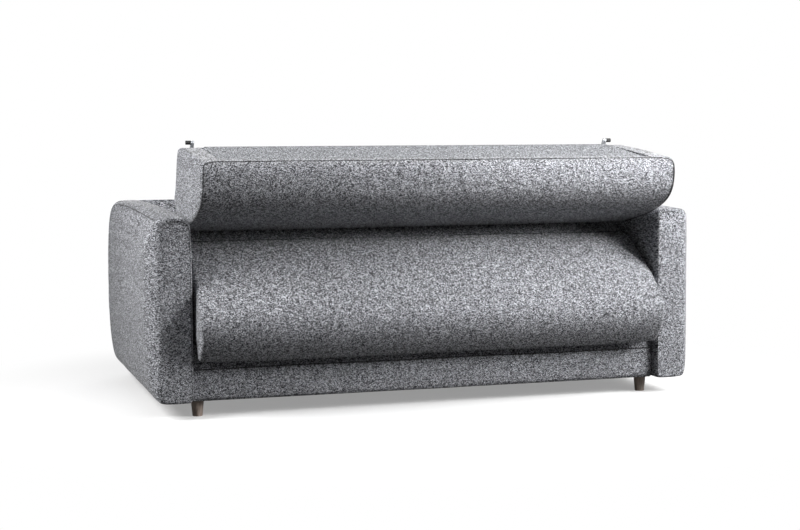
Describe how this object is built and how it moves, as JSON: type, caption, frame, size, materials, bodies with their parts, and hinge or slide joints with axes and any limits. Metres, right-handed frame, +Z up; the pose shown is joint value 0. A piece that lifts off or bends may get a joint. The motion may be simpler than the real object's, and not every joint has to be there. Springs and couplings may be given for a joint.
{
  "type": "sofa bed",
  "caption": "Upholstered front-opening sofa bed with a tipping seat, a folding back and a lifting head section under the seat.",
  "frame": {"origin": "centre of the footprint on the floor, at rest", "axes": "+Z up, +X to the right seen from the front, front towards -Y"},
  "size_m": [1.79, 1.14, 0.8345],
  "materials": {
    "tweed": "woven grey melange tweed",
    "ticking": "quilted grey melange ticking",
    "mesh": "woven support cloth",
    "board": "raw board",
    "leg_wood": "stained turned wood",
    "rubber": "matt moulded",
    "steel": "black powder coat",
    "foot_steel": "satin zinc plated"
  },
  "bodies": {
    "base": {"arm_board_right": "board", "arm_board_left": "board", "arm_cover_right": "tweed", "arm_cover_left": "tweed", "rear_board": "board", "rear_cover": "tweed", "front_board": "board", "front_cover": "tweed", "side_rail_right": "steel", "side_rail_left": "steel", "front_rail": "steel", "rear_rail": "steel", "front_leg_right": "leg_wood", "front_leg_left": "leg_wood", "rear_leg_right": "leg_wood", "rear_leg_left": "leg_wood", "corner_blocks": "board", "tilt_bracket_right": "steel", "tilt_bracket_left": "steel", "head_brackets": "steel"},
    "tilt_frame": {"tilt_plate_right": "steel", "tilt_plate_left": "steel"},
    "swing_arms": {"swing_arm_right": "steel", "swing_arm_left": "steel"},
    "seat": {"seat_frame": "steel", "seat_mesh": "mesh", "seat_mattress": "ticking", "seat_cushion": "tweed", "seat_lug_right": "steel", "seat_lug_left": "steel", "foot_lug_right": "steel", "foot_lug_left": "steel"},
    "feet": {"bed_foot_right": "foot_steel", "bed_foot_left": "foot_steel", "foot_cap_right": "rubber", "foot_cap_left": "rubber"},
    "back": {"back_frame": "steel", "back_mesh": "mesh", "back_mattress": "ticking", "back_cushion": "tweed", "back_ear_right": "steel", "back_ear_left": "steel"},
    "head_links_front": {"head_link_front_right": "steel", "head_link_front_left": "steel"},
    "head_links_rear": {"head_link_rear_right": "steel", "head_link_rear_left": "steel"},
    "head_section": {"head_frame": "steel", "head_pins": "steel", "head_mesh": "mesh", "head_mattress": "ticking"}
  },
  "joints": [
    {"name": "seat_tilt", "type": "hinge", "parent": "base", "child": "tilt_frame", "pos_m": [0, -0.36353, 0.21979], "axis": [1, 0, 0], "range_deg": [-36, 0]},
    {"name": "arm_swing", "type": "hinge", "parent": "tilt_frame", "child": "swing_arms", "pos_m": [0, -0.35852, 0.37948], "axis": [-1, 0, 0], "range_deg": [0, 86.4]},
    {"name": "bed_unfold", "type": "hinge", "parent": "swing_arms", "child": "seat", "pos_m": [0, -0.36353, 0.21979], "axis": [1, 0, 0], "range_deg": [0, 230.4]},
    {"name": "foot_fold", "type": "hinge", "parent": "seat", "child": "feet", "pos_m": [0, -0.04185, 0.52244], "axis": [1, 0, 0], "range_deg": [-56, 0]},
    {"name": "back_unfold", "type": "hinge", "parent": "feet", "child": "back", "pos_m": [0, -0.04, 0.686], "axis": [-1, 0, 0], "range_deg": [0, 152]},
    {"name": "head_lift_front", "type": "hinge", "parent": "base", "child": "head_links_front", "pos_m": [0, -0.2, 0.17567], "axis": [1, 0, 0], "range_deg": [0, 53.91]},
    {"name": "head_level", "type": "hinge", "parent": "head_links_front", "child": "head_section", "pos_m": [0, -0.0705, 0.187], "axis": [-1, 0, 0], "range_deg": [0, 53.91]},
    {"name": "head_lift_rear", "type": "hinge", "parent": "base", "child": "head_links_rear", "pos_m": [0, 0.27, 0.17567], "axis": [1, 0, 0], "range_deg": [0, 53.91]}
  ],
  "couplings": [
    {"joint": "arm_swing", "follows": "bed_unfold", "ratio": 0.375},
    {"joint": "back_unfold", "follows": "bed_unfold", "ratio": 0.65971},
    {"joint": "head_lift_front", "follows": "bed_unfold", "ratio": 0.23399},
    {"joint": "head_level", "follows": "bed_unfold", "ratio": 0.23399},
    {"joint": "head_lift_rear", "follows": "bed_unfold", "ratio": 0.23399},
    {"joint": "foot_fold", "follows": "seat_tilt", "ratio": 1.5555}
  ]
}
